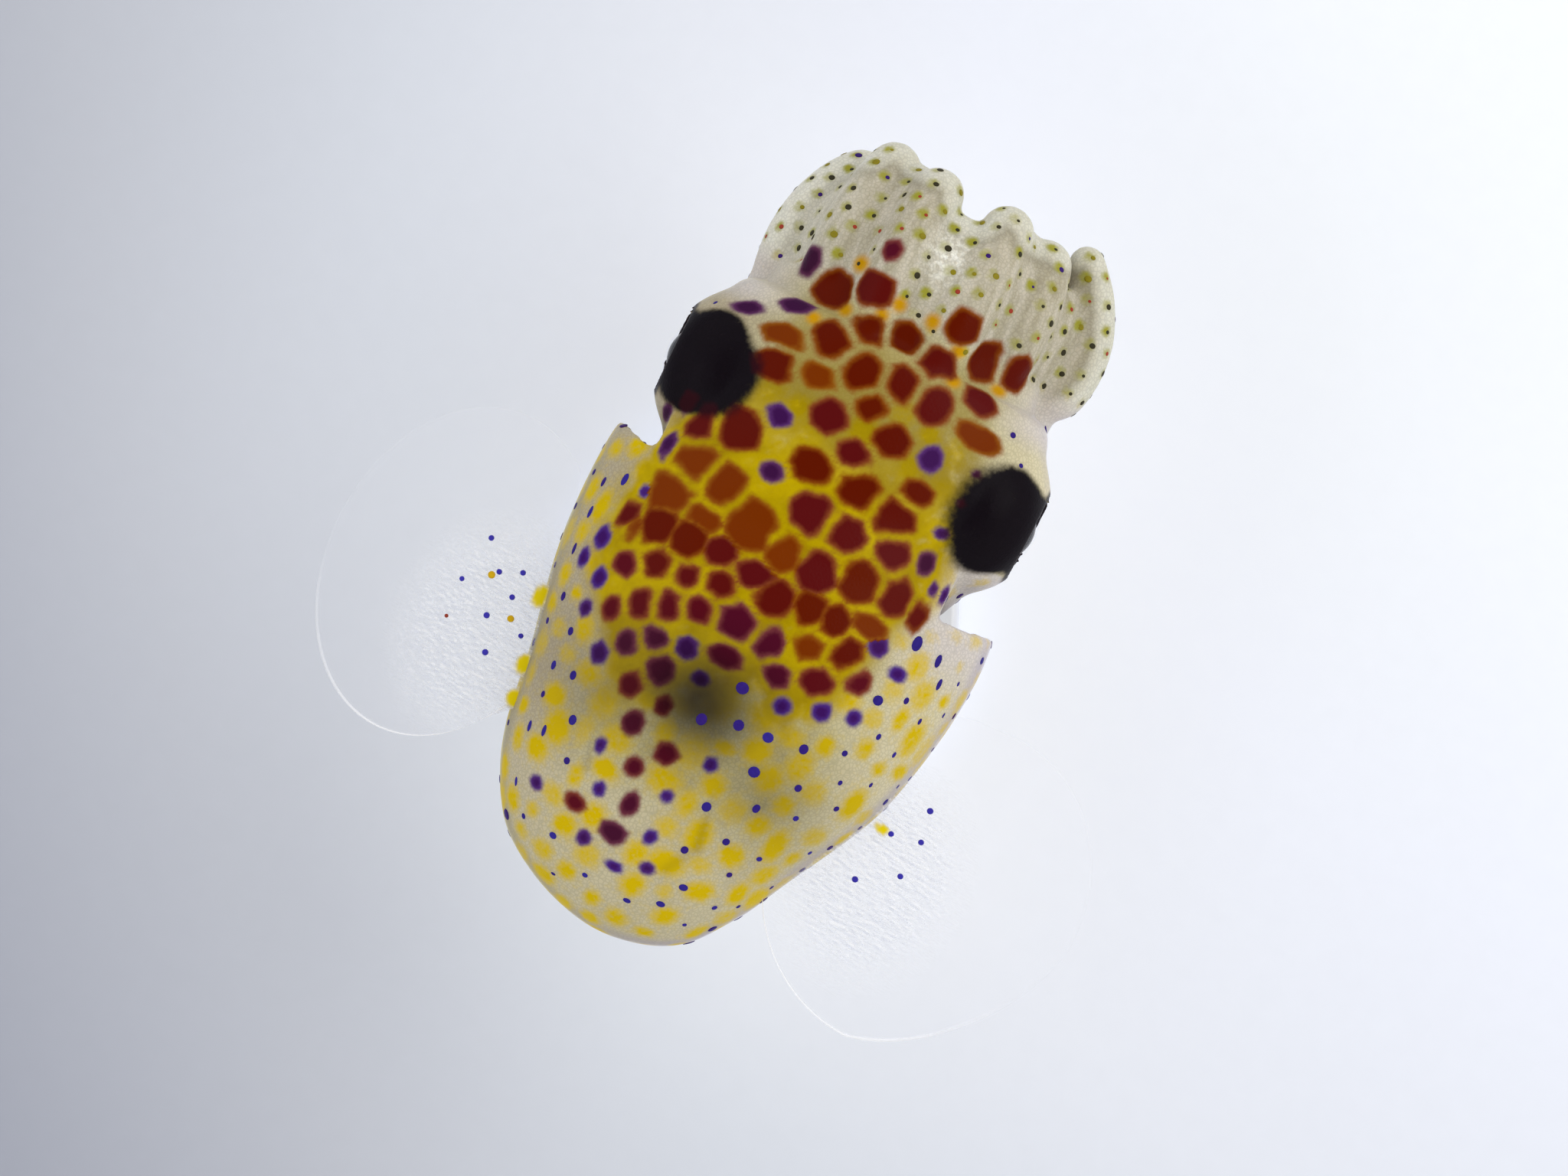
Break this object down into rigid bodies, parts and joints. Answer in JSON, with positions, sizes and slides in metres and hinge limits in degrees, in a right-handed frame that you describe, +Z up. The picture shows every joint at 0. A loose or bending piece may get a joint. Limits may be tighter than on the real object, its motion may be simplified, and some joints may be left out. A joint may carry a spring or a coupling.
{
  "type": "hawaiian bobtail squid hatchling",
  "caption": "Life-size bobtail squid hatchling, swimming, with round fins spread and arms bundled, held level by its belly on a plain round display stand.",
  "frame": {"origin": "centre of the underside of the stand's round base", "axes": "+Z up, towards the animal's back; the head and arms point along -Y; the animal's left side is +X"},
  "size_m": [0.0036, 0.0036, 0.0023],
  "materials": {
    "flesh": "satin",
    "fin": "satin",
    "eye": "gloss",
    "stand": "gloss"
  },
  "bodies": {
    "root": {"mantle": "flesh", "head": "flesh", "funnel": "flesh", "arm_left_1": "flesh", "arm_left_2": "flesh", "arm_left_3": "flesh", "arm_left_4": "flesh", "arm_right_1": "flesh", "arm_right_2": "flesh", "arm_right_3": "flesh", "arm_right_4": "flesh", "tentacle_left": "flesh", "tentacle_right": "flesh", "fin_left": "fin", "fin_right": "fin", "eye_left": "eye", "eye_right": "eye", "stand_base": "stand", "stand_rod": "stand"}
  },
  "joints": []
}
